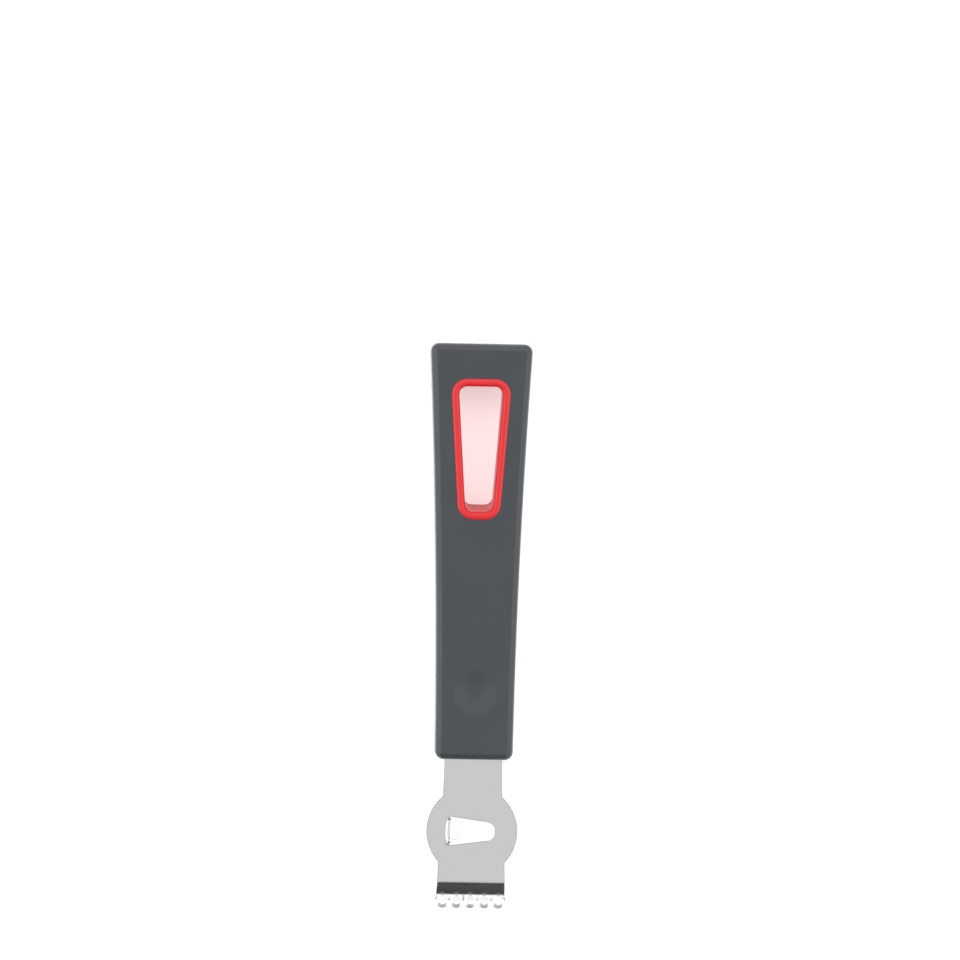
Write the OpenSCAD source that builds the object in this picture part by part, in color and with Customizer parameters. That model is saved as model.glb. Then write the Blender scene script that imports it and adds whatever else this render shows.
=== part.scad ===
// Citrus zester with a channel cutter: a moulded handle with a lined hanging
// slot, and one stamped steel blade that ends in a bent row of ring cutters.
// It lies on its back: thumb face up, hanging end towards +Y, blade towards -Y.

/* [Handle] */
// Length of the handle, from its hanging end to its blade end
handle_l = 129; // [112:1:150]
// Width of the handle at its hanging end
handle_w_top = 31.8; // [29:0.1:38]
// Width of the handle at its blade end
handle_w_end = 24.1; // [23:0.1:29]
// How far each side curves in from a straight line
side_hollow = 0.85; // [0:0.01:1.5]
// Thickness of the handle, from its back to its thumb face
handle_t = 12; // [9:0.1:16]
// Radius of the rounded edges round the thumb face and the back
edge_r = 2.3; // [1:0.1:2.5]
// Radius of the four corners, seen from the front
corner_r = 2.6; // [2.6:0.1:4]

/* [Thumb rest] */
// Distance from the blade end of the handle to the middle of the dish
dish_from_end = 21; // [14:0.5:30]
// Diameter of the dish at the thumb face
dish_d = 13.4; // [8:0.1:16]
// Depth of the dish
dish_deep = 0.7; // [0.3:0.1:1.5]

/* [Hanging slot] */
// Distance from the hanging end of the handle to the wide end of the slot
slot_from_top = 13.3; // [10:0.1:18]
// Length of the slot inside its liner
slot_l = 38.8; // [25:0.1:43]
// Width of the slot at its wide end
slot_w_wide = 13.9; // [11:0.1:15]
// Width of the slot at its narrow end
slot_w_narrow = 8.4; // [6.5:0.1:10]
// Radius of the corners of the slot
slot_corner_r = 2.5; // [1:0.1:2.8]
// How far the wall at the narrow end leans in, from the thumb face to the back
slot_lean = 2; // [0:0.1:2.5]

/* [Slot liner] */
// Wall of the liner where it stands in the handle
liner_wall = 1.85; // [1.2:0.05:2.1]
// Width of the lip that shows on the thumb face
lip_w = 2.35; // [2.2:0.05:3]
// Height of the lip above the thumb face
lip_h = 0.5; // [0.3:0.05:1]
// Bevel along both edges of the lip
lip_bevel = 0.25; // [0.1:0.05:0.3]

/* [Blade] */
// Thickness of the steel sheet
sheet_t = 1.2; // [0.8:0.1:1.8]
// Length of the tang inside the handle
tang_l = 50; // [35:1:55]
// Width of the tang
tang_w = 13; // [11:0.5:15]
// Depth of the full width of the neck inside the mouth of the handle
neck_in = 4; // [2:0.5:8]
// Diameter of the holes that lock the tang in the moulding
lock_d = 6; // [4:0.5:8]
// Distance between the lock holes
lock_pitch = 22; // [14:1:24]
// Width of the neck where it leaves the handle
neck_w = 17.7; // [15:0.1:20]
// Distance from the handle to the middle of the disc
disc_from_handle = 22.5; // [18:0.1:30]
// Diameter of the disc
disc_d = 28.3; // [26:0.1:32]
// Angle at which each side of the neck and of the end strip spreads
side_flare = 1.75; // [0:0.05:3]

/* [Channel cutter] */
// Distance from the middle of the disc to the fold of the tongue
fold_x = 8.2; // [7:0.1:9]
// Distance from the middle of the disc to the round end of the opening
open_x = 7.1; // [5:0.1:9]
// Width of the opening at the fold
open_w = 9; // [8.4:0.1:10]
// Radius of the round end of the opening
open_r = 2.95; // [2:0.05:3.2]
// Width of the tongue at its fold
tongue_root_w = 8; // [7:0.1:8.2]
// Width of the tongue past its fold
tongue_w = 6.4; // [5:0.1:6.8]
// Inner radius of both folds of the tongue
fold_r = 0.3; // [0.2:0.05:0.5]
// Angle of the steep part of the tongue below the sheet
fold_angle = 48; // [30:1:55]
// Length of the steep part, between the folds
fold_l = 0.7; // [0.4:0.1:1.2]
// Length of the tongue past its fold
tongue_l = 4.1; // [3:0.1:5]
// Angle of the tongue below the sheet
tongue_angle = 12; // [0:1:20]

/* [Bent end] */
// Distance from the middle of the disc to the first bend
bend_from_disc = 15.5; // [14.5:0.1:20]
// Inner radius of both bends
bend_r = 0.6; // [0.4:0.1:1.5]
// Angle of the step below the sheet
step_angle = 38; // [20:1:45]
// Length of the flat part of the step
step_l = 3.8; // [2:0.1:4.5]
// Angle at which the ring strip rises again towards its tip
tip_angle = 12; // [0:1:20]
// Distance from the second bend to the line of the holes
holes_in = 1.75; // [1.75:0.05:3]

/* [Ring cutters] */
// Number of rings
ring_count = 5; // [4:1:5]
// Distance between neighbouring holes, which sets the width of the strip
ring_pitch = 4.35; // [4:0.05:4.5]
// Outer diameter of each ring, which meets its neighbours
ring_d = 4.6; // [4.6:0.05:4.9]
// Diameter of each hole
hole_d = 2.5; // [2:0.1:2.6]
// Width of the raised rim where it leaves the sheet
rim_w = 0.4; // [0.3:0.05:0.4]
// Height of the raised rim
rim_h = 0.35; // [0.2:0.05:0.6]
// Width of the rim's cutting edge
rim_edge = 0.12; // [0.1:0.02:0.2]

/* [Hidden] */

$fn = 64;
// Steps in a quarter turn of the handle's rounded edges and corners
arc_steps = 7;
// Steps along one side of the handle
side_steps = 14;
// Steps in each bend and fold of the sheet
bend_steps = 8;
// How far a cut runs past the faces that it goes through
past = 1;
// How far a straight side ends inside the circle that it runs into
crossing = 0.03;

function polar(r, a) = r * [cos(a), sin(a)];

// A stretch of the sheet seen from the side that turns from one heading to
// another about a middle, as points of its middle line with their headings
function turn(middle, r, from, to) = let (side = to < from ? 90 : -90)
    [for (i = [0:bend_steps]) let (a = from + (to - from) * i / bend_steps)
        concat(middle + polar(r, a + side), a)];

// The end of such a line, l further on
function further(line, l) = let (p = line[len(line) - 1])
    [p[0], p[1]] + polar(l, p[2]);

// The bent end seen from the side, as [distance towards the tip, height,
// heading] from the middle of the disc, at the middle of the sheet
mid_r = bend_r + sheet_t / 2;
bend_1 = turn([bend_from_disc, -mid_r], mid_r, 0, -step_angle);
bend_2 = turn(further(bend_1, step_l) + polar(mid_r, 90 - step_angle), mid_r,
    -step_angle, tip_angle);
strip_start = further(bend_2, 0);
hole_line = further(bend_2, holes_in);
strip_w = ring_count * ring_pitch;
hole_places = [for (i = [0:ring_count - 1]) (i + 0.5) * ring_pitch - strip_w / 2];
tip = hole_line[0] + ring_d / 2;

// The tongue seen from the side, from its root at the edge of the opening
fold_mid_r = fold_r + sheet_t / 2;
fold_1 = turn([0, -fold_mid_r], fold_mid_r, 0, -fold_angle);
fold_2 = turn(further(fold_1, fold_l) + polar(fold_mid_r, 90 - fold_angle), fold_mid_r,
    -fold_angle, -tongue_angle);
fold_run = further(fold_2, 0)[0];

// Places along the tool, whose origin lies below the middle of its length
top_y = (handle_l + disc_from_handle + tip) / 2;
mouth_y = top_y - handle_l;
disc_y = mouth_y - disc_from_handle;
slot_y = top_y - slot_from_top;
dish_y = mouth_y + dish_from_end;
blade_z = handle_t / 2;
// Radius of the ball that hollows the dish
dish_ball_r = (pow(dish_d / 2, 2) + pow(dish_deep, 2)) / (2 * dish_deep);

// Half the width of the handle at a distance s from its hanging end
function half_w(s) = let (k = s / handle_l)
    handle_w_top / 2 + (handle_w_end - handle_w_top) / 2 * k
        - 4 * side_hollow * k * (1 - k);

// Direction in which the side faces there, in degrees from straight across
function facing(s) = atan(((handle_w_end - handle_w_top) / 2
        - 4 * side_hollow * (1 - 2 * s / handle_l)) / handle_l);

top_facing = facing(corner_r);
end_facing = facing(handle_l - corner_r);
// Where the side meets the corners at the hanging end and at the blade end
side_from = corner_r * (1 - sin(top_facing));
side_to = handle_l - corner_r * (1 + sin(end_facing));

// A point on the right side, drawn in by d
function side_point(s, d) = [half_w(s), top_y - s] - polar(d, facing(s));

// A point on a corner that starts or ends at the side's point s
function corner_point(s, a, d) = side_point(s, corner_r) + polar(corner_r - d, a);

// The right half of the handle's outline, drawn in by d, from its blade end up
function right_half(d) = concat(
    [for (i = [0:arc_steps])
        corner_point(side_to, -90 + (90 + end_facing) * i / arc_steps, d)],
    [for (i = [1:side_steps - 1])
        side_point(side_to + (side_from - side_to) * i / side_steps, d)],
    [for (i = [0:arc_steps])
        corner_point(side_from, top_facing + (90 - top_facing) * i / arc_steps, d)]);

function outline(d) = let (half = right_half(d), n = len(half))
    concat(half, [for (i = [1:n]) [-half[n - i][0], half[n - i][1]]]);

// Levels of the rounded block, as [height, how far it is drawn in]
back_levels = [for (i = [0:arc_steps]) let (a = 90 - 90 * i / arc_steps)
    edge_r * [1 - sin(a), 1 - cos(a)]];
levels = concat(back_levels,
    [for (i = [0:arc_steps]) let (b = back_levels[arc_steps - i]) [handle_t - b[0], b[1]]]);

// The handle's block, with its edges and corners rounded
module rounded_block() {
    rings = [for (l = levels) [for (p = outline(l[1])) [p[0], p[1], l[0]]]];
    n = len(rings[0]);
    last = len(rings) - 1;
    polyhedron(
        points = [for (r = rings) each r],
        faces = concat(
            [[for (i = [0:n - 1]) i]],
            [[for (i = [n - 1:-1:0]) last * n + i]],
            [for (k = [0:last - 1]) for (i = [0:n - 1]) let (j = (i + 1) % n)
                [k * n + i, (k + 1) * n + i, (k + 1) * n + j, k * n + j]]));
}

// Half the width of the slot at a distance t from its wide end
function slot_half_w(t) =
    (slot_w_wide + (slot_w_narrow - slot_w_wide) * t / slot_l) / 2;

// Outline of the slot, grown by grow and cut short at its narrow end
module slot_outline(grow = 0, short = 0) {
    l = slot_l - short;
    offset(r = slot_corner_r + grow)
        offset(delta = -slot_corner_r)
            polygon([[-slot_half_w(0), 0], [-slot_half_w(l), -l],
                     [slot_half_w(l), -l], [slot_half_w(0), 0]]);
}

module slot_layer(from, to, grow = 0, short = 0) {
    translate([0, slot_y, from])
        linear_extrude(to - from)
            slot_outline(grow, short);
}

// Outline of the opening in the disc, from the fold to its round end, whose
// circle the two sides cross
module cutter_opening() {
    reach = fold_x + open_x - open_r;
    inner_r = open_r - crossing;
    slope = atan(open_w / 2 / reach)
        - asin(inner_r / sqrt(pow(reach, 2) + pow(open_w / 2, 2)));
    side_end = polar(inner_r, 90 - slope);
    translate([open_x - open_r, 0]) {
        circle(open_r);
        polygon([[-reach, -open_w / 2], [side_end[0], -side_end[1]], side_end,
                 [-reach, open_w / 2]]);
    }
}

// Outline of the flat and bent sheet seen from the front, about the disc's middle
module sheet_outline() {
    spread = tan(side_flare);
    neck_end = neck_w / 2 + spread * disc_from_handle;
    strip_top = strip_w / 2 - spread * strip_start[0];
    difference() {
        union() {
            translate([-tang_w / 2, disc_from_handle])
                square([tang_w, tang_l]);
            translate([-neck_w / 2, disc_from_handle])
                square([neck_w, neck_in]);
            polygon([[-neck_w / 2, disc_from_handle], [-neck_end, 0],
                     [neck_end, 0], [neck_w / 2, disc_from_handle]]);
            circle(d = disc_d, $fn = 128);
            polygon([[-strip_top, 0], [-strip_w / 2, -strip_start[0]],
                     [-strip_w / 2, -hole_line[0]], [strip_w / 2, -hole_line[0]],
                     [strip_w / 2, -strip_start[0]], [strip_top, 0]]);
            for (x = hole_places)
                translate([x, -hole_line[0]])
                    circle(d = ring_d);
        }
        cutter_opening();
        for (side = [-1, 1])
            translate([0, disc_from_handle + tang_l / 2 + side * lock_pitch / 2])
                circle(d = lock_d);
    }
}

// The sheet seen from the side, with its thickness about a middle line
module sheet_side(line) {
    function face(p, away) = [p[0], p[1]] + polar(away, p[2] + 90);
    n = len(line);
    polygon(concat([for (p = line) face(p, sheet_t / 2)],
        [for (i = [1:n]) face(line[n - i], -sheet_t / 2)]));
}

// The sheet cut to its outline and bent
module bent_sheet() {
    tall = 4 * tip;
    wide = 2 * disc_d;
    line = concat([[-disc_from_handle - tang_l, 0, 0]], bend_1, bend_2,
        [concat(further(bend_2, holes_in + ring_d), tip_angle)]);
    intersection() {
        translate([0, 0, -tall / 2])
            linear_extrude(tall) sheet_outline();
        translate([-wide / 2, 0, 0])
            rotate([90, 0, 90]) linear_extrude(wide) mirror([1, 0]) sheet_side(line);
    }
}

// Outline of the tongue seen from the front, from its root to its pointed tip
module tongue_outline() {
    nose = tongue_l * cos(tongue_angle);
    arc_r = (pow(nose, 2) + pow(tongue_w / 2, 2)) / tongue_w;
    polygon([[-sheet_t, -tongue_root_w / 2], [0, -tongue_root_w / 2],
             [fold_run, -tongue_w / 2], [fold_run, tongue_w / 2],
             [0, tongue_root_w / 2], [-sheet_t, tongue_root_w / 2]]);
    translate([fold_run, 0])
        intersection() {
            translate([0, tongue_w / 2 - arc_r]) circle(arc_r);
            translate([0, arc_r - tongue_w / 2]) circle(arc_r);
            translate([-past / 2, -tongue_w]) square(2 * tongue_w);
        }
}

module tongue() {
    tall = 4 * (fold_run + tongue_l);
    line = concat([[-sheet_t, 0, 0]], fold_1, fold_2,
        [concat(further(fold_2, tongue_l + sheet_t), -tongue_angle)]);
    translate([-fold_x, 0, 0])
        intersection() {
            translate([0, 0, -tall / 2])
                linear_extrude(tall) tongue_outline();
            translate([0, tongue_root_w, 0])
                rotate([90, 0, 0]) linear_extrude(2 * tongue_root_w) sheet_side(line);
        }
}

// Puts children at each hole, with +Z square to the front of the ring strip
module at_holes() {
    for (x = hole_places)
        translate([x, -hole_line[0], hole_line[1]])
            rotate([-tip_angle, 0, 0])
                children();
}

// The raised rim of one hole, a cone that starts inside the sheet
module rim() {
    root = rim_h / 2;
    spread = (rim_w - rim_edge) / rim_h;
    translate([0, 0, sheet_t / 2 - root])
        cylinder(r1 = hole_d / 2 + rim_w + spread * root, r2 = hole_d / 2 + rim_edge,
                 h = root + rim_h);
}

module blade_solid() {
    translate([0, disc_y, blade_z])
        difference() {
            union() {
                bent_sheet();
                tongue();
                at_holes() rim();
            }
            at_holes()
                translate([0, 0, -sheet_t / 2 - past])
                    cylinder(d = hole_d, h = sheet_t + rim_h + 2 * past);
        }
}

// The room that the moulding leaves for the flat part of the sheet
module blade_room() {
    translate([0, disc_y, blade_z - sheet_t / 2])
        linear_extrude(sheet_t) sheet_outline();
}

module handle() {
    color("#55585c")
        difference() {
            rounded_block();
            slot_layer(-past, handle_t + past, grow = liner_wall);
            translate([0, dish_y, handle_t - dish_deep + dish_ball_r])
                sphere(dish_ball_r, $fn = 128);
            blade_room();
        }
}

module slot_liner() {
    lip_top = handle_t + lip_h;
    color("#e8373f")
        difference() {
            union() {
                slot_layer(0, handle_t, grow = liner_wall);
                hull() {
                    slot_layer(handle_t, lip_top - lip_bevel, grow = lip_w);
                    slot_layer(handle_t, lip_top, grow = lip_w - lip_bevel);
                }
            }
            hull() {
                slot_layer(-past, 0, short = slot_lean);
                slot_layer(handle_t, lip_top + past);
            }
            hull() {
                slot_layer(lip_top - lip_bevel, lip_top);
                slot_layer(lip_top, lip_top + past, grow = lip_bevel);
            }
        }
}

module blade() {
    color("#c8c9ca") blade_solid();
}

handle();
slot_liner();
blade();
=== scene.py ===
from math import asin, atan, cos, pi, radians, sin, sqrt, tan
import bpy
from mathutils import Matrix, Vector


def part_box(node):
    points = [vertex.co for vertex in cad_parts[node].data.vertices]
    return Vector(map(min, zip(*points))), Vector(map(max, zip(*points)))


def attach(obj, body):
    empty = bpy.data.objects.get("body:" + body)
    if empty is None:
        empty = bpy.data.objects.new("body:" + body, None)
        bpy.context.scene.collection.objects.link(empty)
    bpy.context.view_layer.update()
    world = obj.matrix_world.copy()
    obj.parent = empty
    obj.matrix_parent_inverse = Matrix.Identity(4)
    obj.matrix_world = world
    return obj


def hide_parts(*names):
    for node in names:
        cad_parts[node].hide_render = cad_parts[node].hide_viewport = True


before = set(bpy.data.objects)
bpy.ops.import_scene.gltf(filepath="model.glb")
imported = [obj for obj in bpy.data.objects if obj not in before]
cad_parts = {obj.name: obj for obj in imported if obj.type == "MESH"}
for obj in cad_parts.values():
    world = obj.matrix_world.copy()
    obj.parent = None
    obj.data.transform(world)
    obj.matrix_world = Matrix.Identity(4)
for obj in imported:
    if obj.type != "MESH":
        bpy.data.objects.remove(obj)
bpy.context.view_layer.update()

from types import SimpleNamespace

import bmesh
import bpy
from mathutils import Matrix, Vector

bl_info = {
    "name": "Citrus zester",
    "version": (1, 0, 0),
    "blender": (4, 5, 0),
    "location": "3D View > Sidebar > Zester",
    "description": "A citrus zester with a lined hanging slot, built on its packed frame",
    "category": "Object",
}

HANDLE_LOW, HANDLE_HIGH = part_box("handle")
LINER_LOW, LINER_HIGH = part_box("slot_liner")

# The pieces are modelled in millimetres and brought to metres when they are finished
MM = 0.001
# Places closer than this, in millimetres, count as one
CLOSE = 1e-3
# How far a cutting body stands past what it cuts, in millimetres
PAST = 1
# Neighbouring faces that turn by less than this are made one face
FLAT = radians(0.05)
# Edges that turn by more than this are corners of the sheet
CORNER = radians(60)
# Edges that turn by more than this shade as sharp ones
SHARP = radians(40)


def linear(hex_colour):
    """An sRGB colour such as "#c8c9ca" as linear red, green and blue."""
    channels = (int(hex_colour[i:i + 2], 16) / 255 for i in (1, 3, 5))
    return tuple(c / 12.92 if c <= 0.04045 else ((c + 0.055) / 1.055) ** 2.4
                 for c in channels)


def length(name, description, default):
    """A size in metres that shows in the sidebar."""
    return bpy.props.FloatProperty(name=name, description=description, default=default,
                                   min=0, unit="LENGTH", precision=5)


def position(name, description, default):
    """A place along an axis, in metres, that shows in the sidebar."""
    return bpy.props.FloatProperty(name=name, description=description, default=default,
                                   unit="LENGTH")


def angle(name, description, degrees):
    """An angle that shows in the sidebar in degrees."""
    return bpy.props.FloatProperty(name=name, description=description,
                                   default=radians(degrees), subtype="ANGLE")


def colour(name, description, hex_colour):
    """A colour that shows in the sidebar as a swatch."""
    return bpy.props.FloatVectorProperty(name=name, description=description, size=3,
                                         default=linear(hex_colour), min=0, max=1,
                                         subtype="COLOR")


class HandleSizes(bpy.types.PropertyGroup):
    """Sizes of the moulded handle."""

    top_width: length("Width at the hanging end", "Width across the hanging end", 0.0318)
    end_width: length("Width at the blade end", "Width across the blade end", 0.0241)
    hollow: length("Side hollow", "How far each side curves in", 0.00085)
    edge_radius: length("Edge radius", "Rounding round the thumb face and the back", 0.0023)
    corner_radius: length("Corner radius", "Rounding of the four corners", 0.0026)
    dish_from_end: length("Dish place", "From the blade end to the dish's middle", 0.021)
    dish_width: length("Dish width", "Diameter of the thumb dish", 0.0146)
    dish_depth: length("Dish depth", "Depth of the thumb dish", 0.0009)


class SlotSizes(bpy.types.PropertyGroup):
    """Sizes of the hanging slot and its liner."""

    wide_end: length("Wide end", "Width of the slot at its wide end", 0.0139)
    narrow_end: length("Narrow end", "Width of the slot at its narrow end", 0.0084)
    corner_radius: length("Corner radius", "Rounding of the slot's corners", 0.0025)
    wall: length("Wall", "Wall of the liner inside the handle", 0.00185)
    lip: length("Lip", "Width of the lip on the thumb face", 0.00235)
    lean: length("Lean", "How far the wall at the narrow end leans in at the back", 0.002)
    crown: length("Lip crown", "From the slot's wall to the lip's highest line", 0.0011)
    roll: length("Lip roll", "How far down into the slot the lip is rounded", 0.0011)
    back_edge: length("Back edge", "Rounding of the slot's edge on the back", 0.0004)


class BladeSizes(bpy.types.PropertyGroup):
    """Sizes of the stamped blade."""

    thickness: length("Thickness", "Thickness of the steel sheet", 0.0012)
    neck_width: length("Neck width", "Width where the blade leaves the handle", 0.0177)
    neck_in: length("Neck in", "Depth of the neck's full width in the handle", 0.004)
    tang_width: length("Tang width", "Width of the tang in the handle", 0.013)
    tang_length: length("Tang length", "Length of the tang in the handle", 0.05)
    lock_hole: length("Lock hole", "Diameter of the holes in the tang", 0.006)
    lock_pitch: length("Lock pitch", "Distance between the lock holes", 0.022)
    disc_from_handle: length("Disc place", "From the handle to the disc's middle", 0.0225)
    disc_width: length("Disc width", "Diameter of the disc", 0.0283)
    flare: angle("Flare", "Spread of each side of the neck and the strip", 1.75)
    bend_from_disc: length("Bend place", "From the middle of the disc to the bend", 0.0155)
    bend_radius: length("Bend radius", "Inner radius of the strip's bends", 0.0006)
    step_angle: angle("Step angle", "Fall of the step below the sheet", 38)
    step_length: length("Step length", "Length of the flat part of the step", 0.0038)
    tip_angle: angle("Tip angle", "Rise of the ring strip towards its tip", 12)
    strip_in: length("Strip in", "How far the strip stands in from the rings", 0.0002)
    edge_softening: length("Edge softening", "Rounding that tumbling leaves", 0.00018)


class CutterSizes(bpy.types.PropertyGroup):
    """Sizes of the ring cutters and of the channel cutter."""

    ring_count: bpy.props.IntProperty(name="Rings", description="Number of ring cutters",
                                      default=5, min=1)
    ring_pitch: length("Ring pitch", "Distance between neighbouring holes", 0.00435)
    ring_width: length("Ring width", "Outer diameter of each ring", 0.0046)
    hole_width: length("Hole width", "Diameter of each hole", 0.0025)
    holes_in: length("Holes in", "From the second bend to the line of the holes", 0.0017)
    rim_height: length("Rim height", "Height of the sharp rims above the sheet", 0.00035)
    rim_edge: length("Rim edge", "Width of the sharp edge of a rim", 0.0001)
    opening_left: length("Opening left", "From the disc's middle to its corners", 0.007)
    opening_right: length("Opening right", "From the disc's middle to its round end",
                          0.0071)
    opening_width: length("Opening width", "Width of the opening at its corners", 0.0091)
    opening_radius: length("Opening radius", "Radius of the opening's round end", 0.00295)
    opening_corner: length("Opening corner", "Rounding of its corners", 0.00045)
    fold_from_disc: length("Fold place", "From the disc's middle to the fold", 0.00845)
    fold_radius: length("Fold radius", "Inner radius of the tongue's folds", 0.0003)
    fold_angle: angle("Fold angle", "Fall of the steep part of the tongue", 40)
    fold_length: length("Fold length", "Length of the steep part", 0.00105)
    fold_bow: length("Fold bow", "How far the fold starts later at its sides", 0.00115)
    tongue_root: length("Tongue root", "Width where the tongue leaves the disc", 0.0077)
    tongue_width: length("Tongue width", "Width of the tongue past its fold", 0.006)
    tongue_length: length("Tongue length", "Length of the tongue past its fold", 0.0042)
    tongue_angle: angle("Tongue angle", "Fall of the tongue's face", 12)
    root_chamfer: length("Root chamfer", "Width of the torn edge beside the fold", 0.0006)


class Finishes(bpy.types.PropertyGroup):
    """Colours of the finishes."""

    handle: colour("Handle", "Colour of the moulded handle", "#2d3237")
    liner: colour("Liner", "Colour of the slot liner", "#d21920")
    steel: colour("Steel", "Colour of the satin stainless steel", "#d3d4d5")
    floor: colour("Floor", "Colour of the pale floor", "#f2f2f2")


class StageSettings(bpy.types.PropertyGroup):
    """Where the camera stands."""

    distance: length("Camera distance", "From the camera to the tool", 2.5)
    view_width: length("View width", "Width that the picture takes in at the tool", 0.2969)
    aim_across: position("Aim across", "Sideways place of the picture's middle", 0.0001)
    aim_along: position("Aim along", "Lengthways place of the picture's middle", 0.0457)
    pitch: angle("Pitch", "How far the camera stands towards the hanging end", 2)
    yaw: angle("Yaw", "How far the camera stands towards the left", 2.2)
    roll: angle("Roll", "Clockwise turn of the tool in the picture", 1.15)


def in_mm(settings):
    """A group's sizes in millimetres, with its angles and counts as they are."""
    sizes = SimpleNamespace()
    for rna in settings.bl_rna.properties:
        if rna.identifier in ("rna_type", "name"):
            continue
        value = getattr(settings, rna.identifier)
        is_length = rna.type == "FLOAT" and rna.unit == "LENGTH"
        setattr(sizes, rna.identifier, value / MM if is_length else value)
    return sizes


# ---------------------------------------------------------------- modelling


def flat_face(shape, points, z):
    """Start a shape from a few corners at one height."""
    return shape.faces.new([shape.verts.new((x, y, z)) for x, y in points])


def round_corners(shape, places, radius, segments):
    """Round a flat face's corners at some places to one radius, whatever their angle."""
    for place in places:
        corner = min(shape.verts, key=lambda vert: (vert.co - place).length)
        sides = [edge.other_vert(corner).co - corner.co for edge in corner.link_edges]
        setback = radius / tan(sides[0].angle(sides[1]) / 2)
        bmesh.ops.bevel(shape, geom=[corner], offset=setback, offset_type="OFFSET",
                        affect="VERTICES", segments=segments, profile=0.5, material=-1,
                        clamp_overlap=False)


def solid_from(shape, face, rise):
    """Extrude a lone face straight up or down to a closed solid, and hand back the face
    at its end."""
    made = bmesh.ops.extrude_face_region(shape, geom=[face])["geom"]
    verts = [part for part in made if isinstance(part, bmesh.types.BMVert)]
    bmesh.ops.translate(shape, vec=(0, 0, rise), verts=verts)
    bmesh.ops.recalc_face_normals(shape, faces=shape.faces)
    return next(part for part in made if isinstance(part, bmesh.types.BMFace))


def inset(shape, face, thickness, depth):
    """Draw a face in evenly, and move it out along its normal."""
    bmesh.ops.inset_region(shape, faces=[face], thickness=thickness, depth=depth,
                           use_boundary=True, use_even_offset=True)


def round_over(shape, face, radius, segments):
    """Give a face's rim a quarter round, by insets that rise along its normal."""
    for step in range(segments):
        low, high = (pi / 2 * k / segments for k in (step, step + 1))
        inset(shape, face, radius * (cos(low) - cos(high)), radius * (sin(high) - sin(low)))


def prism(points, low, high):
    """A closed upright prism over a polygon."""
    shape = bmesh.new()
    solid_from(shape, flat_face(shape, points, low), high - low)
    return shape


def turned(radius_low, radius_high, low, high, x, y, segments):
    """An upright cone or cylinder at a place."""
    shape = bmesh.new()
    bmesh.ops.create_cone(shape, cap_ends=True, segments=segments, radius1=radius_low,
                          radius2=radius_high, depth=high - low,
                          matrix=Matrix.Translation((x, y, (low + high) / 2)))
    return shape


def combine(shape, other, operation):
    """Join, cut or trim a closed shape with another, and hand back the result."""
    bodies = []
    for part in (shape, other):
        mesh = bpy.data.meshes.new("part")
        part.to_mesh(mesh)
        part.free()
        bodies.append(bpy.data.objects.new("part", mesh))
        bpy.context.scene.collection.objects.link(bodies[-1])
    boolean = bodies[0].modifiers.new("boolean", "BOOLEAN")
    boolean.operation, boolean.solver, boolean.object = operation, "EXACT", bodies[1]
    result = bmesh.new()
    result.from_object(bodies[0], bpy.context.evaluated_depsgraph_get())
    for body in bodies:
        mesh = body.data
        bpy.data.objects.remove(body)
        bpy.data.meshes.remove(mesh)
    bmesh.ops.remove_doubles(result, verts=result.verts, dist=CLOSE)
    bmesh.ops.dissolve_limit(result, angle_limit=FLAT, verts=result.verts,
                             edges=result.edges)
    return result


def parts_of(faces):
    """Faces with their edges and corners, as a bisection takes them."""
    return list({*faces, *(e for f in faces for e in f.edges),
                 *(v for f in faces for v in f.verts)})


def slice_faces(shape, wanted, axis, places):
    """Cut the wanted faces by planes across an axis, so that they can bend there."""
    normal = Vector((axis == "x", axis == "y", axis == "z"))
    for place in places:
        faces = [face for face in shape.faces if wanted(face)]
        bmesh.ops.bisect_plane(shape, geom=parts_of(faces), dist=1e-5,
                               plane_co=normal * place, plane_no=normal)


def evenly(first, last, count):
    """Places at equal steps from the first to the last, both counted."""
    return [first + (last - first) * k / (count - 1) for k in range(count)]


def finish_piece(shape, name, node, materials):
    """Bring a shape to metres as a piece that stands for a CAD node."""
    bmesh.ops.scale(shape, vec=(MM, MM, MM), verts=shape.verts)
    for face in shape.faces:
        face.smooth = True
    mesh = bpy.data.meshes.new(name)
    shape.to_mesh(mesh)
    shape.free()
    mesh.set_sharp_from_angle(angle=SHARP)
    for material in materials:
        mesh.materials.append(material)
    piece = bpy.data.objects.new(name, mesh)
    bpy.context.scene.collection.objects.link(piece)
    # Large flat faces keep their own normals, so that the roundings beside them shade true
    normals = piece.modifiers.new("flat faces", "WEIGHTED_NORMAL")
    normals.mode, normals.keep_sharp = "FACE_AREA", True
    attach(piece, "root")
    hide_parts(node)


# ---------------------------------------------------------------- materials


def add_node(tree, kind, inputs=None, **settings):
    """Add a node with its settings, and set or link its inputs."""
    made = tree.nodes.new(kind)
    for name, value in settings.items():
        setattr(made, name, value)
    for socket, value in (inputs or {}).items():
        if isinstance(value, bpy.types.NodeSocket):
            tree.links.new(value, made.inputs[socket])
        else:
            made.inputs[socket].default_value = value
    return made


def empty_material(name):
    """A material with no nodes yet, and its node tree."""
    material = bpy.data.materials.new(name)
    material.use_nodes = True
    material.node_tree.nodes.clear()
    return material, material.node_tree


def per_mm(size_mm):
    """Scale of a noise on object coordinates for marks of a size in millimetres."""
    return 1 / (size_mm * MM)


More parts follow.
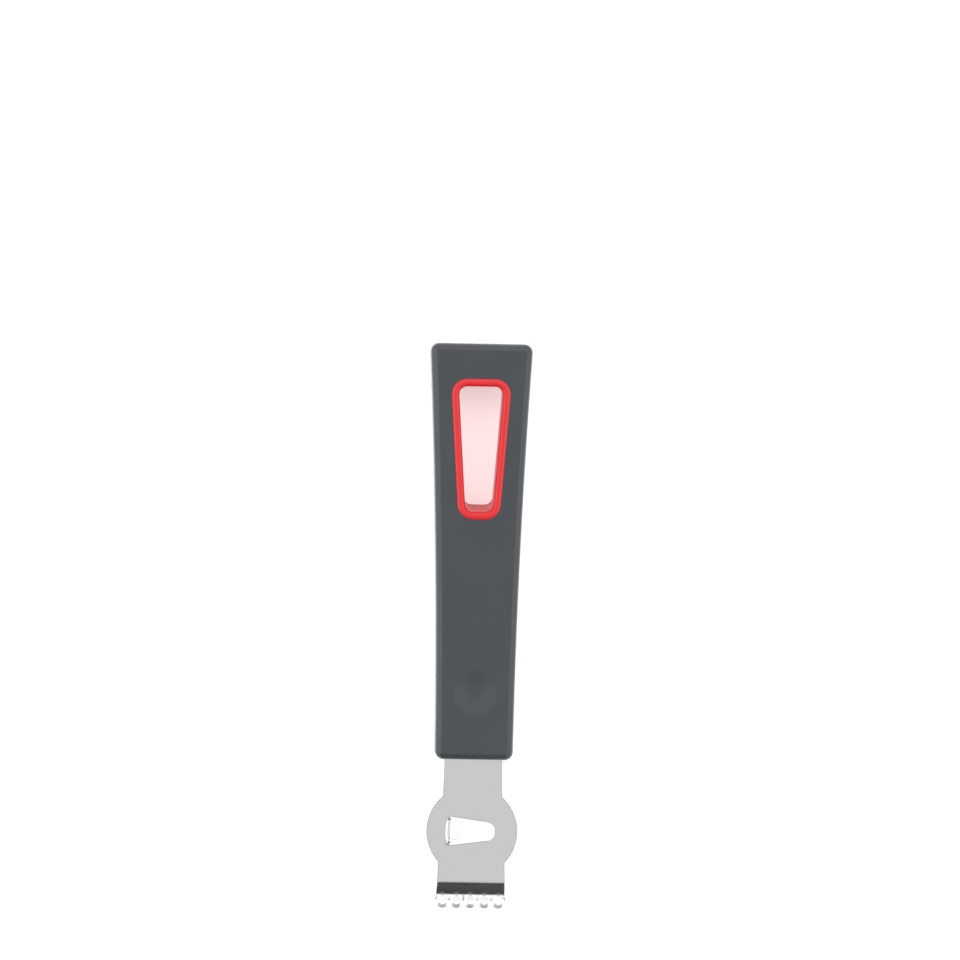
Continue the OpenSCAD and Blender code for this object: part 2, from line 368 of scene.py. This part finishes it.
def soft_touch_moulding(base):
    """Polypropylene with a soft-touch skin, moulded in a spark-eroded tool.

    The eye gets a dark, matt face with a broad faint sheen, a grain of about a fifth of
    a millimetre, and edges that turn light where they mirror the room at a low angle.
    """
    material, tree = empty_material("soft_touch_polypropylene_moulded")
    place = add_node(tree, "ShaderNodeTexCoord").outputs["Object"]
    # Grain of the eroded tool, 0.22 mm, drawn twice as coarse as the real one to show
    grain = add_node(tree, "ShaderNodeTexNoise", {
        "Vector": place, "Scale": per_mm(0.22), "Detail": 2.0, "Roughness": 0.6})
    # Flow of the melt and handling, in patches of about 14 mm
    cloud = add_node(tree, "ShaderNodeTexNoise", {
        "Vector": place, "Scale": per_mm(14.0), "Detail": 3.0, "Roughness": 0.5})
    dark, light = (tuple(c * k for c in base) + (1,) for k in (0.95, 1.05))
    tone = add_node(tree, "ShaderNodeMix", {
        "Factor": cloud.outputs["Fac"], "A": dark, "B": light}, data_type="RGBA")
    gloss = add_node(tree, "ShaderNodeMapRange", {
        "Value": cloud.outputs["Fac"], "From Min": 0.3, "From Max": 0.7,
        "To Min": 0.4, "To Max": 0.48})
    bump = add_node(tree, "ShaderNodeBump", {
        "Height": grain.outputs["Fac"], "Strength": 0.25, "Distance": 0.02 * MM})
    shader = add_node(tree, "ShaderNodeBsdfPrincipled", {
        "Base Color": tone.outputs["Result"], "Roughness": gloss.outputs["Result"],
        "IOR": 1.6, "Sheen Weight": 1.0, "Sheen Roughness": 0.32,
        "Normal": bump.outputs["Normal"]})
    add_node(tree, "ShaderNodeOutputMaterial", {"Surface": shader.outputs["BSDF"]})
    return material


def glossy_red_moulding(base):
    """Red ABS, moulded in a polished tool.

    The eye gets an even, saturated red with a soft highlight along every rounding.
    """
    material, tree = empty_material("red_abs_moulded")
    place = add_node(tree, "ShaderNodeTexCoord").outputs["Object"]
    # Slight orange peel of the polished tool, 0.9 mm
    peel = add_node(tree, "ShaderNodeTexNoise", {
        "Vector": place, "Scale": per_mm(0.9), "Detail": 1.0})
    # Uneven pigment, in patches of about 6 mm
    pigment = add_node(tree, "ShaderNodeTexNoise", {
        "Vector": place, "Scale": per_mm(6.0), "Detail": 2.0})
    dark, light = (tuple(c * k for c in base) + (1,) for k in (0.96, 1.03))
    tone = add_node(tree, "ShaderNodeMix", {
        "Factor": pigment.outputs["Fac"], "A": dark, "B": light}, data_type="RGBA")
    gloss = add_node(tree, "ShaderNodeMapRange", {
        "Value": pigment.outputs["Fac"], "From Min": 0.3, "From Max": 0.7,
        "To Min": 0.33, "To Max": 0.39})
    bump = add_node(tree, "ShaderNodeBump", {
        "Height": peel.outputs["Fac"], "Strength": 0.12, "Distance": 0.02 * MM})
    shader = add_node(tree, "ShaderNodeBsdfPrincipled", {
        "Base Color": tone.outputs["Result"], "Roughness": gloss.outputs["Result"],
        "IOR": 1.5, "Normal": bump.outputs["Normal"]})
    add_node(tree, "ShaderNodeOutputMaterial", {"Surface": shader.outputs["BSDF"]})
    return material


def satin_steel(base, name, roughness, stroke_mm):
    """Austenitic stainless steel sheet, rolled and tumbled to a satin.

    The eye gets a pale grey that mirrors the room softly, with a faint grain that runs
    along the sheet, and darker bands wherever it bends towards the dark of the room.
    """
    material, tree = empty_material(name)
    place = add_node(tree, "ShaderNodeTexCoord").outputs["Object"]
    # Rolling strokes run along Y: fine across, and thirty times as long
    across, along = per_mm(stroke_mm), per_mm(stroke_mm * 30)
    course = add_node(tree, "ShaderNodeMapping", {
        "Vector": place, "Scale": (across, along, across)})
    strokes = add_node(tree, "ShaderNodeTexNoise", {
        "Vector": course.outputs["Vector"], "Scale": 1.0, "Detail": 3.0, "Roughness": 0.6})
    # Handling leaves patches of about 9 mm that differ a little in gloss
    patches = add_node(tree, "ShaderNodeTexNoise", {
        "Vector": place, "Scale": per_mm(9.0), "Detail": 2.0})
    dark, light = (tuple(min(c * k, 1) for c in base) + (1,) for k in (0.985, 1.015))
    tone = add_node(tree, "ShaderNodeMix", {
        "Factor": strokes.outputs["Fac"], "A": dark, "B": light}, data_type="RGBA")
    gloss = add_node(tree, "ShaderNodeMapRange", {
        "Value": patches.outputs["Fac"], "From Min": 0.3, "From Max": 0.7,
        "To Min": roughness - 0.02, "To Max": roughness + 0.02})
    bump = add_node(tree, "ShaderNodeBump", {
        "Height": strokes.outputs["Fac"], "Strength": 0.08, "Distance": 0.01 * MM})
    shader = add_node(tree, "ShaderNodeBsdfPrincipled", {
        "Base Color": tone.outputs["Result"], "Roughness": gloss.outputs["Result"],
        "Metallic": 1.0, "Normal": bump.outputs["Normal"]})
    add_node(tree, "ShaderNodeOutputMaterial", {"Surface": shader.outputs["BSDF"]})
    return material


# ---------------------------------------------------------------- pieces

class ZESTER_OT_handle(bpy.types.Operator):
    """Model the moulded handle with its slot, its thumb dish and the blade's seat"""

    bl_idname = "zester.handle"
    bl_label = "Handle"

    def execute(self, context):
        sizes = in_mm(context.scene.zester_handle)
        slot = in_mm(context.scene.zester_slot)
        blade = in_mm(context.scene.zester_blade)
        top, mouth, face_z = (value / MM for value in
                              (HANDLE_HIGH.y, HANDLE_LOW.y, HANDLE_HIGH.z))
        shape = bmesh.new()
        half_top, half_end = sizes.top_width / 2, sizes.end_width / 2
        flat_face(shape, [(-half_end, mouth), (half_end, mouth),
                          (half_top, top), (-half_top, top)], sizes.edge_radius)
        corners = [vert.co.copy() for vert in shape.verts]
        sides = [edge for edge in shape.edges
                 if abs(edge.verts[0].co.y - edge.verts[1].co.y) > CLOSE]
        # Each side is cut into enough short parts for its hollow to look even
        bmesh.ops.bisect_edges(shape, edges=sides, cuts=23)
        for vert in shape.verts:
            along = (top - vert.co.y) / (top - mouth)
            bow = 4 * sizes.hollow * along * (1 - along)
            vert.co.x += -bow if vert.co.x > 0 else bow
        round_corners(shape, corners, sizes.corner_radius, segments=10)
        back = shape.faces[:][0]
        face = solid_from(shape, back, face_z - 2 * sizes.edge_radius)
        for end in (face, back):
            round_over(shape, end, sizes.edge_radius, segments=9)
        # The slot takes the liner's wall, and the mouth takes the flat of the blade
        room = bmesh.new()
        solid_from(room, slot_outline(room, slot, slot.wall, -PAST), face_z + 2 * PAST)
        shape = combine(shape, room, "DIFFERENCE")
        tang = flat_tang(blade, mouth - PAST, mouth, face_z / 2)
        shape = combine(shape, tang, "DIFFERENCE")
        press_dish(shape, sizes, mouth + sizes.dish_from_end, face_z)
        finish_piece(shape, "handle_moulding", "handle",
                     [soft_touch_moulding(context.scene.zester_finishes.handle)])
        return {"FINISHED"}


def slot_outline(shape, slot, grow, z, short=0.0):
    """The slot's tapered outline as a lone face, grown all round, or cut short at its
    narrow end."""
    far = LINER_HIGH.y / MM - slot.lip
    near = LINER_LOW.y / MM + slot.lip
    taper = (slot.wide_end - slot.narrow_end) / 2 / (far - near)
    spread = grow * sqrt(1 + taper ** 2)
    half_far = slot.wide_end / 2 + taper * grow + spread
    half_near = slot.narrow_end / 2 + taper * (short - grow) + spread
    near += short - grow
    face = flat_face(shape, [(-half_near, near), (half_near, near),
                             (half_far, far + grow), (-half_far, far + grow)], z)
    round_corners(shape, [vert.co.copy() for vert in face.verts],
                  slot.corner_radius + grow, segments=14)
    return shape.faces[:][0]


def flat_tang(blade, start, mouth, middle_z):
    """The sheet's neck and tang in the handle, from a place on, with the lock holes."""
    low, high = middle_z - blade.thickness / 2, middle_z + blade.thickness / 2
    neck, tang = blade.neck_width / 2, blade.tang_width / 2
    shoulder, end = mouth + blade.neck_in, mouth + blade.tang_length
    sheet = prism([(-neck, start), (neck, start), (neck, shoulder), (tang, shoulder),
                   (tang, end), (-tang, end), (-tang, shoulder), (-neck, shoulder)],
                  low, high)
    middle = mouth + blade.tang_length / 2
    for place in (middle - blade.lock_pitch / 2, middle + blade.lock_pitch / 2):
        radius = blade.lock_hole / 2
        drill = turned(radius, radius, low - PAST, high + PAST, 0, place, segments=48)
        sheet = combine(sheet, drill, "DIFFERENCE")
    return sheet


def press_dish(shape, sizes, middle_y, face_z):
    """Press the thumb dish into the flat face, with a soft rim."""
    radius = sizes.dish_width / 2
    # A square patch of the face, a little larger than the dish, is sliced finely
    reach, lines = radius + 0.4, 46

    def on_face(face):
        return all(abs(vert.co.z - face_z) < CLOSE for vert in face.verts)

    def beside(face):
        return on_face(face) and abs(face.calc_center_bounds().y - middle_y) < reach

    def in_patch(face):
        return beside(face) and abs(face.calc_center_bounds().x) < reach

    ends = [middle_y - reach, middle_y + reach]
    slice_faces(shape, on_face, "y", ends)
    slice_faces(shape, beside, "x", [-reach, reach])
    slice_faces(shape, in_patch, "y", evenly(*ends, lines)[1:-1])
    slice_faces(shape, in_patch, "x", evenly(-reach, reach, lines)[1:-1])
    for vert in shape.verts:
        away = (vert.co.xy - Vector((0, middle_y))).length / radius
        if abs(vert.co.z - face_z) < CLOSE and away < 1:
            vert.co.z -= sizes.dish_depth * (1 - away ** 2) ** 1.5


class ZESTER_OT_slot_liner(bpy.types.Operator):
    """Model the red liner of the hanging slot, with its rounded lip"""

    bl_idname = "zester.slot_liner"
    bl_label = "Slot liner"

    def execute(self, context):
        slot = in_mm(context.scene.zester_slot)
        shape = bmesh.new()
        loops = []
        for grow, z, short in liner_section(slot):
            face = slot_outline(shape, slot, grow, z, short)
            loops.append((face.edges[:], z))
            bmesh.ops.delete(shape, geom=[face], context="FACES_ONLY")
        for (loop, z), (following, next_z) in zip(loops, loops[1:] + loops[:1]):
            # A bridge can twist between two loops at one height, so a flat ring is filled
            if abs(z - next_z) < CLOSE:
                bmesh.ops.triangle_fill(shape, use_beauty=True, edges=loop + following,
                                        normal=(0, 0, 1))
            else:
                bmesh.ops.bridge_loops(shape, edges=loop + following)
        bmesh.ops.recalc_face_normals(shape, faces=shape.faces)
        finish_piece(shape, "slot_liner_ring", "slot_liner",
                     [glossy_red_moulding(context.scene.zester_finishes.liner)])
        return {"FINISHED"}


def liner_section(slot):
    """The liner cut through once, as how far it is grown from the slot, its height, and
    how much shorter the slot is there, because its narrow end leans in at the back."""
    face_z, lip_z = HANDLE_HIGH.z / MM, LINER_HIGH.z / MM
    # Chamfer of the outer wall at the back, where the liner is pressed in
    relief = 0.2
    # Under the lip, down the outer wall and in across the back
    section = [(slot.lip, face_z), (slot.wall, face_z), (slot.wall, relief),
               (slot.wall - relief, 0.0)]
    inner = [(slot.back_edge * (1 - sin(a)), slot.back_edge * (1 - cos(a)))
             for a in evenly(0, pi / 2, 6)]
    # Up the inner wall, over the crown of the lip and down to its outer edge
    inner += [(slot.crown * (1 - cos(a)), lip_z + slot.roll * (sin(a) - 1))
              for a in evenly(0, pi / 2, 10)]
    inner += [(slot.crown + (slot.lip - slot.crown) * sin(a),
               face_z + (lip_z - face_z) * cos(a)) for a in evenly(0, pi / 2, 9)[1:-1]]
    return ([(grow, z, 0.0) for grow, z in section]
            + [(grow, z, slot.lean * max(0.0, 1 - z / face_z)) for grow, z in inner])


# The last stretch of a course runs straight on past the sheet's end
ONWARDS = (10, 0)


def walk(course, distance):
    """Where a folded sheet's middle is after a distance, as run, height and heading.

    The course is a row of stretches, each with its length and the angle that it turns.
    """
    run, height, heading = 0.0, 0.0, 0.0
    for stretch, turn in course:
        part = min(distance, stretch)
        after = heading + turn * part / stretch
        if turn:
            radius = stretch / turn
            run += radius * (sin(after) - sin(heading))
            height += radius * (cos(heading) - cos(after))
        else:
            run += part * cos(heading)
            height += part * sin(heading)
        heading = after
        distance -= part
        if distance <= 0:
            break
    return run, height, heading


def ends_of(course):
    """Where the stretches of a course end, as distances from its start."""
    total, ends = 0.0, []
    for stretch, _ in course:
        total += stretch
        ends.append(total)
    return ends


def fold_places(course, steps):
    """Where a sheet has to be cut so that every turn of its course shows as a curve."""
    places, start = [], 0.0
    for stretch, turn in course:
        if turn:
            places += evenly(start, start + stretch, steps + 1)
        start += stretch
    return places


class ZESTER_OT_blade(bpy.types.Operator):
    """Model the stamped blade with its channel cutter and its row of ring cutters"""

    bl_idname = "zester.blade"
    bl_label = "Blade"

    def execute(self, context):
        blade = in_mm(context.scene.zester_blade)
        cut = in_mm(context.scene.zester_cutters)
        half = blade.thickness / 2
        mid_bend = blade.bend_radius + half
        back_up = blade.step_angle + blade.tip_angle
        strip_course = [(blade.bend_from_disc, 0),
                        (mid_bend * blade.step_angle, -blade.step_angle),
                        (blade.step_length, 0), (mid_bend * back_up, back_up), ONWARDS]
        strip_start = ends_of(strip_course)[3]
        hole_line = strip_start + cut.holes_in
        shape = flat_sheet(blade, cut, half, strip_start, hole_line)
        shape = add_rings(shape, cut, half, hole_line)
        shape = add_tongue(shape, cut, half)
        chamfer_root(shape, cut, half)
        soften(shape, half, blade.edge_softening)
        # The sheared sides take the second material, which is rougher and also painted at
        # half brightness as painted shade along the cut edges
        for face in sheared_faces(shape, cut, half):
            face.material_index = 1
        bend_tongue(shape, cut, half)
        bend_strip(shape, strip_course)
        # Slices close to a corner leave slivers
        bmesh.ops.dissolve_degenerate(shape, dist=2 * CLOSE, edges=shape.edges)
        bmesh.ops.translate(shape, verts=shape.verts,
                            vec=(0, HANDLE_LOW.y / MM - blade.disc_from_handle,
                                 HANDLE_HIGH.z / MM / 2))
        steel = context.scene.zester_finishes.steel
        # Halving the steel's colour is painted shade for the sheared sides; only their
        # higher roughness belongs to the cut edge itself
        sheared_with_painted_shade = tuple(c / 2 for c in steel)
        finish_piece(shape, "zester_blade", "blade", [
            satin_steel(steel, "satin_stainless_steel", roughness=0.17, stroke_mm=0.12),
            satin_steel(sheared_with_painted_shade, "sheared_stainless_steel", roughness=0.4, stroke_mm=0.2)])
        return {"FINISHED"}


def flat_sheet(blade, cut, half, strip_start, hole_line):
    """The neck, the disc and the strip in the flat, round the disc's middle, with Y up."""
    mouth = blade.disc_from_handle
    spread = tan(blade.flare)
    neck, neck_end = blade.neck_width / 2, blade.neck_width / 2 + spread * mouth
    strip = cut.ring_count * cut.ring_pitch / 2 - blade.strip_in
    strip_top = strip - spread * strip_start
    radius = blade.disc_width / 2
    sheet = flat_tang(blade, mouth - PAST, mouth, 0)
    sheet = combine(sheet, prism([(-neck_end, 0), (neck_end, 0), (neck, mouth),
                                  (-neck, mouth)], -half, half), "UNION")
    disc = turned(radius, radius, -half, half, 0, 0, segments=180)
    sheet = combine(sheet, disc, "UNION")
    sheet = combine(sheet, prism([(-strip, -hole_line), (strip, -hole_line),
                                  (strip, -strip_start), (strip_top, 0), (-strip_top, 0),
                                  (-strip, -strip_start)], -half, half), "UNION")
    return combine(sheet, cutter_opening(cut, half), "DIFFERENCE")


def cutter_opening(cut, half):
    """The opening beside the tongue, as a prism that runs through the sheet."""
    middle = cut.opening_right - cut.opening_radius
    reach = cut.opening_left + middle
    wide = cut.opening_width / 2
    slope = atan(wide / reach) - asin(cut.opening_radius / sqrt(reach ** 2 + wide ** 2))
    left = -cut.opening_left
    round_end = [(middle + cut.opening_radius * sin(a), cut.opening_radius * cos(a))
                 for a in evenly(slope, pi - slope, 25)]
    shape = bmesh.new()
    low = -half - PAST
    flat_face(shape, [(left, wide), (left, -wide)] + round_end[::-1], low)
    round_corners(shape, [Vector((left, side, low)) for side in (wide, -wide)],
                  cut.opening_corner, segments=6)
    solid_from(shape, shape.faces[:][0], -2 * low)
    return shape


def hole_places(cut):
    """Sideways places of the holes."""
    first = -(cut.ring_count - 1) / 2 * cut.ring_pitch
    return [first + k * cut.ring_pitch for k in range(cut.ring_count)]


def add_rings(sheet, cut, half, hole_line):
    """The ring ends, each ground to a cone that rises to its sharp rim."""
    # The cone starts this far below the sheet's face
    shoulder = 0.35
    foot, rim = half - shoulder, half + cut.rim_height
    outer, hole, sides = cut.ring_width / 2, cut.hole_width / 2, 64
    for x in hole_places(cut):
        ring = turned(outer, outer, -half, foot, x, -hole_line, sides)
        cone = turned(outer, hole + cut.rim_edge, foot - CLOSE, rim, x, -hole_line, sides)
        sheet = combine(sheet, combine(ring, cone, "UNION"), "UNION")
    for x in hole_places(cut):
        drill = turned(hole, hole, -half - PAST, rim + PAST, x, -hole_line, sides)
        sheet = combine(sheet, drill, "DIFFERENCE")
    return sheet


def add_tongue(sheet, cut, half):
    """The tongue of the channel cutter in the flat, ground thin from behind."""
    start, fold_end = -cut.fold_from_disc, end_of_folds(cut, half)
    # How far the tongue lies in the sheet, and its full root past the opening's corners
    inside, past_corners = 1.5, 0.3
    # Thickness left at the tongue's rim, and width of the ground part round it
    rim, ground = 0.3, 0.8
    root, wide = cut.tongue_root / 2, cut.tongue_width / 2
    nose = [(fold_end + cut.tongue_length * sin(a), wide * cos(a) ** 0.8)
            for a in evenly(0, pi / 2, 15)]
    side = [(start - inside, root), (past_corners - cut.opening_left, root)] + nose
    outline = side + [(x, -y) for x, y in side[-2::-1]]
    tongue = bmesh.new()
    behind = solid_from(tongue, flat_face(tongue, outline, half), -rim)
    inset(tongue, behind, ground, 2 * half - rim)
    return combine(sheet, tongue, "UNION")


def tongue_course(cut, half):
    """The stretches of the tongue, from its fold to its tip."""
    mid_fold = cut.fold_radius + half
    back_up = cut.fold_angle - cut.tongue_angle
    return [(mid_fold * cut.fold_angle, -cut.fold_angle), (cut.fold_length, 0),
            (mid_fold * back_up, back_up), ONWARDS]


def end_of_folds(cut, half):
    """Sideways place in the flat where the tongue's last fold ends."""
    return -cut.fold_from_disc + ends_of(tongue_course(cut, half))[2]


def corner_edges(shape, z):
    """The outward corners of the flat sheet at one height."""
    return [edge for edge in shape.edges
            if all(abs(vert.co.z - z) < CLOSE for vert in edge.verts)
            and len(edge.link_faces) == 2 and edge.is_convex
            and edge.calc_face_angle() > CORNER]


def bevel_edges(shape, edges, offset, segments):
    """Chamfer or round some edges, whose bevels may cross."""
    bmesh.ops.bevel(shape, geom=edges, offset=offset, offset_type="OFFSET",
                    affect="EDGES", segments=segments, profile=0.5, material=-1,
                    clamp_overlap=False, loop_slide=False)


def chamfer_root(shape, cut, half):
    """Tear the tongue's upper edges beside its fold, where the sheet is drawn down."""
    margin = 0.1
    left, right = -cut.opening_left, end_of_folds(cut, half) + margin
    edges = [edge for edge in corner_edges(shape, half)
             if all(left < vert.co.x < right and in_tongue(vert.co.x, vert.co.y, cut)
                    for vert in edge.verts)]
    bevel_edges(shape, edges, cut.root_chamfer, segments=1)


def soften(shape, half, radius):
    """Round the long edges of the sheet a little, as tumbling does."""
    edges = corner_edges(shape, half) + corner_edges(shape, -half)
    bevel_edges(shape, edges, radius, segments=2)


def sheared_faces(shape, cut, half):
    """The sides of the flat sheet with their rounded edges, as the press leaves them, but
    for the tongue, which is ground."""
    fold_end = end_of_folds(cut, half)
    # A face of the sheet itself is level, and the rings' rims rise above it
    level, above = 0.97, half + 0.01

    def ground(face):
        centre = face.calc_center_bounds()
        return (fold_end < centre.x < cut.opening_right
                and in_tongue(centre.x, centre.y, cut))

    return [face for face in shape.faces if abs(face.normal.z) < level and not ground(face)
            and all(abs(vert.co.z) < above for vert in face.verts)]


def bend_strip(shape, course):
    """Bend the sheet down at the step and up again at the ring strip."""
    below_opening = -10

    def in_strip(face):
        return min(vert.co.y for vert in face.verts) < below_opening

    places = fold_places(course, steps=8)
    slice_faces(shape, in_strip, "y", [-place for place in places])
    for vert in shape.verts:
        if vert.co.y < 0:
            run, height, heading = walk(course, -vert.co.y)
            lift = vert.co.z
            vert.co.y = -(run - lift * sin(heading))
            vert.co.z = height + lift * cos(heading)


def bend_tongue(shape, cut, half):
    """Fold the tongue down from the disc, in a bend that is sharper towards its sides."""
    course = tongue_course(cut, half)
    start, side = -cut.fold_from_disc, cut.tongue_root / 2
    # The sliced zone starts a little before the fold and ends at the tongue's tip
    first, end = start - 0.3, end_of_folds(cut, half) + cut.tongue_length
    lines_across, lines_along = 44, 27
    edge = 0.01

    def meets_zone(face):
        xs, ys = ([vert.co[axis] for vert in face.verts] for axis in (0, 1))
        return (max(xs) > first + edge and min(xs) < end - edge
                and max(ys) > edge - side and min(ys) < side - edge)

    for axis, places in (("x", evenly(first, end, lines_across)),
                         ("y", evenly(-side, side, lines_along))):
        slice_faces(shape, meets_zone, axis, [places[0], places[-1]])
        slice_faces(shape, meets_zone, axis, places[1:-1])
    whole = ends_of(course)[2]
    for vert in shape.verts:
        x, y, lift = vert.co
        bow = cut.fold_bow * min(abs(y / side), 1) ** 4
        along = x - start - bow
        if along > 0 and abs(y) < side + edge and x < end + edge and in_tongue(x, y, cut):
            shrink = 1 - bow / whole
            folded = min(along / shrink, whole)
            run, height, heading = walk(course, folded)
            beyond = along - folded * shrink
            vert.co.x = (start + bow + run * shrink + beyond * cos(heading)
                         - lift * sin(heading))
            vert.co.z = height + beyond * sin(heading) + lift * cos(heading)


def in_tongue(x, y, cut):
    """Whether a place in the flat is on the tongue, not on the sheet beyond its gap."""
    beyond = x + cut.opening_left
    if beyond < 0:
        return True
    wide, gap = cut.opening_width / 2, 0.3
    slope = (wide - cut.opening_radius) / (cut.opening_left + cut.opening_right)
    return abs(y) < wide - slope * beyond - gap


# ---------------------------------------------------------------- stage


def studio_floor(base):
    """White-painted board, which the eye sees as plain white but for the tool's shadow."""
    material, tree = empty_material("white_painted_board")
    path = add_node(tree, "ShaderNodeLightPath")
    seen = add_node(tree, "ShaderNodeMath", {
        0: path.outputs["Is Camera Ray"], 1: path.outputs["Is Glossy Ray"]},
        operation="MAXIMUM")
    seen = add_node(tree, "ShaderNodeMath", {
        0: seen.outputs[0], 1: path.outputs["Is Transmission Ray"]}, operation="MAXIMUM")
    board = add_node(tree, "ShaderNodeBsdfDiffuse", {"Color": base + (1,)})
    glow = add_node(tree, "ShaderNodeEmission", {"Strength": 0.4})
    both = add_node(tree, "ShaderNodeAddShader", {
        0: board.outputs["BSDF"], 1: glow.outputs["Emission"]})
    mixed = add_node(tree, "ShaderNodeMixShader", {
        0: seen.outputs[0], 1: board.outputs["BSDF"], 2: both.outputs["Shader"]})
    add_node(tree, "ShaderNodeOutputMaterial", {"Surface": mixed.outputs["Shader"]})
    return material


def ramp(tree, value, low, high, at_low, at_high):
    """A smooth change from one level to another between two values."""
    return add_node(tree, "ShaderNodeMapRange", {
        "Value": value, "From Min": low, "From Max": high,
        "To Min": at_low, "To Max": at_high}, interpolation_type="SMOOTHSTEP").outputs[0]


def studio_room(world):
    """A light tent: pale straight above, bright at both sides and beyond the hanging end,
    and open beyond the blade's end, where the room is dark. Its light falls off towards
    the horizon and between the bright sides, and a thin grey rim runs round its top."""
    world.use_nodes = True
    tree = world.node_tree
    tree.nodes.clear()
    direction = add_node(tree, "ShaderNodeTexCoord").outputs["Generated"]
    parts = add_node(tree, "ShaderNodeSeparateXYZ", {"Vector": direction})
    across, along, up = (parts.outputs[name] for name in "XYZ")

    def join(operation, a, b):
        terms = {0: a, 1: b}
        return add_node(tree, "ShaderNodeMath", terms, operation=operation).outputs[0]

    def product(first, *others):
        for other in others:
            first = join("MULTIPLY", first, other)
        return first

    # Each side rises from the plain level overhead to its brightest, and falls again
    left = product(ramp(tree, across, -0.75, -0.12, 2.6, 0.9),
                   ramp(tree, across, -0.95, -0.8, 0.8, 1.0))
    right = product(ramp(tree, across, 0.23, 0.7, 0.9, 2.4),
                    ramp(tree, across, 0.75, 0.95, 1.0, 0.7))
    top = product(ramp(tree, along, 0.2, 0.56, 0.9, 2.2),
                  ramp(tree, along, 0.55, 0.7, 1.0, 0.75))
    beside, beyond = (ramp(tree, join("ABSOLUTE", axis, 0.0), 0.3, 0.55, 1.0, 0.45)
                      for axis in (along, across))
    sides = join("MAXIMUM", product(join("MAXIMUM", left, right), beside),
                 product(top, beyond))
    horizon = ramp(tree, up, 0.3, 0.62, 0.65, 1.0)
    rim = product(ramp(tree, up, 0.92, 0.95, 0.0, 1.0),
                  ramp(tree, up, 0.965, 0.985, 1.0, 0.0))
    gap = product(ramp(tree, along, -0.75, -0.3, 1.0, 0.0),
                  ramp(tree, across, -0.85, -0.15, 0.0, 1.0),
                  ramp(tree, across, 0.12, 0.45, 1.0, 0.0))
    level = product(sides, horizon, ramp(tree, rim, 0.0, 1.0, 1.0, 0.55),
                    ramp(tree, gap, 0.0, 1.0, 1.0, 0.11))
    room = add_node(tree, "ShaderNodeBackground", {"Strength": level})
    white = add_node(tree, "ShaderNodeBackground", {"Strength": 1.0})
    seen = add_node(tree, "ShaderNodeLightPath").outputs["Is Camera Ray"]
    for background in (room, white):
        background.inputs["Color"].default_value = (1, 1, 1, 1)
    mixed = add_node(tree, "ShaderNodeMixShader", {
        0: seen, 1: room.outputs[0], 2: white.outputs[0]})
    add_node(tree, "ShaderNodeOutputWorld", {"Surface": mixed.outputs["Shader"]})


class ZESTER_OT_stage(bpy.types.Operator):
    """Set the floor, the light and the camera"""

    bl_idname = "zester.stage"
    bl_label = "Stage"

    def execute(self, context):
        scene = context.scene
        stage = scene.zester_stage
        shape = bmesh.new()
        bmesh.ops.create_grid(shape, x_segments=1, y_segments=1, size=3.0)
        mesh = bpy.data.meshes.new("floor")
        shape.to_mesh(mesh)
        shape.free()
        mesh.materials.append(studio_floor(tuple(scene.zester_finishes.floor)))
        floor = bpy.data.objects.new("floor", mesh)
        scene.collection.objects.link(floor)
        scene.world = scene.world or bpy.data.worlds.new("room")
        studio_room(scene.world)
        aim = Vector((stage.aim_across, stage.aim_along, HANDLE_HIGH.z))
        back = Vector((-sin(stage.yaw), sin(stage.pitch), 1)).normalized()
        up = Vector((-sin(stage.roll), cos(stage.roll), 0))
        right = up.cross(back).normalized()
        up = back.cross(right)
        lens = bpy.data.cameras.new("camera")
        lens.lens = lens.sensor_width * stage.distance / stage.view_width
        lens.clip_start = 0.01
        camera = bpy.data.objects.new("camera", lens)
        camera.matrix_world = (Matrix.Translation(aim + back * stage.distance)
                               @ Matrix((right, up, back)).transposed().to_4x4())
        scene.collection.objects.link(camera)
        scene.camera = camera
        scene.view_settings.view_transform = "Standard"
        return {"FINISHED"}


class ZESTER_PT_sidebar(bpy.types.Panel):
    """The tool's pieces, in the order in which they are made"""

    bl_idname = "ZESTER_PT_sidebar"
    bl_label = "Citrus zester"
    bl_space_type = "VIEW_3D"
    bl_region_type = "UI"
    bl_category = "Zester"

    def draw(self, context):
        for operator, group in STEPS:
            self.layout.operator(operator.bl_idname)
            for name in group.__annotations__:
                self.layout.prop(getattr(context.scene, GROUPS[group]), name)
        for group in (SlotSizes, CutterSizes, Finishes):
            for name in group.__annotations__:
                self.layout.prop(getattr(context.scene, GROUPS[group]), name)


GROUPS = {HandleSizes: "zester_handle", SlotSizes: "zester_slot",
          BladeSizes: "zester_blade", CutterSizes: "zester_cutters",
          Finishes: "zester_finishes", StageSettings: "zester_stage"}
STEPS = ((ZESTER_OT_handle, HandleSizes), (ZESTER_OT_slot_liner, SlotSizes),
         (ZESTER_OT_blade, BladeSizes), (ZESTER_OT_stage, StageSettings))


def register():
    for group, name in GROUPS.items():
        bpy.utils.register_class(group)
        setattr(bpy.types.Scene, name, bpy.props.PointerProperty(type=group))
    for operator, _ in STEPS:
        bpy.utils.register_class(operator)
    bpy.utils.register_class(ZESTER_PT_sidebar)


def unregister():
    bpy.utils.unregister_class(ZESTER_PT_sidebar)
    for operator, _ in reversed(STEPS):
        bpy.utils.unregister_class(operator)
    for group, name in reversed(GROUPS.items()):
        delattr(bpy.types.Scene, name)
        bpy.utils.unregister_class(group)


def main():
    register()
    bpy.ops.zester.handle()
    bpy.ops.zester.slot_liner()
    bpy.ops.zester.blade()
    bpy.ops.zester.stage()


if __name__ == "__main__":
    main()
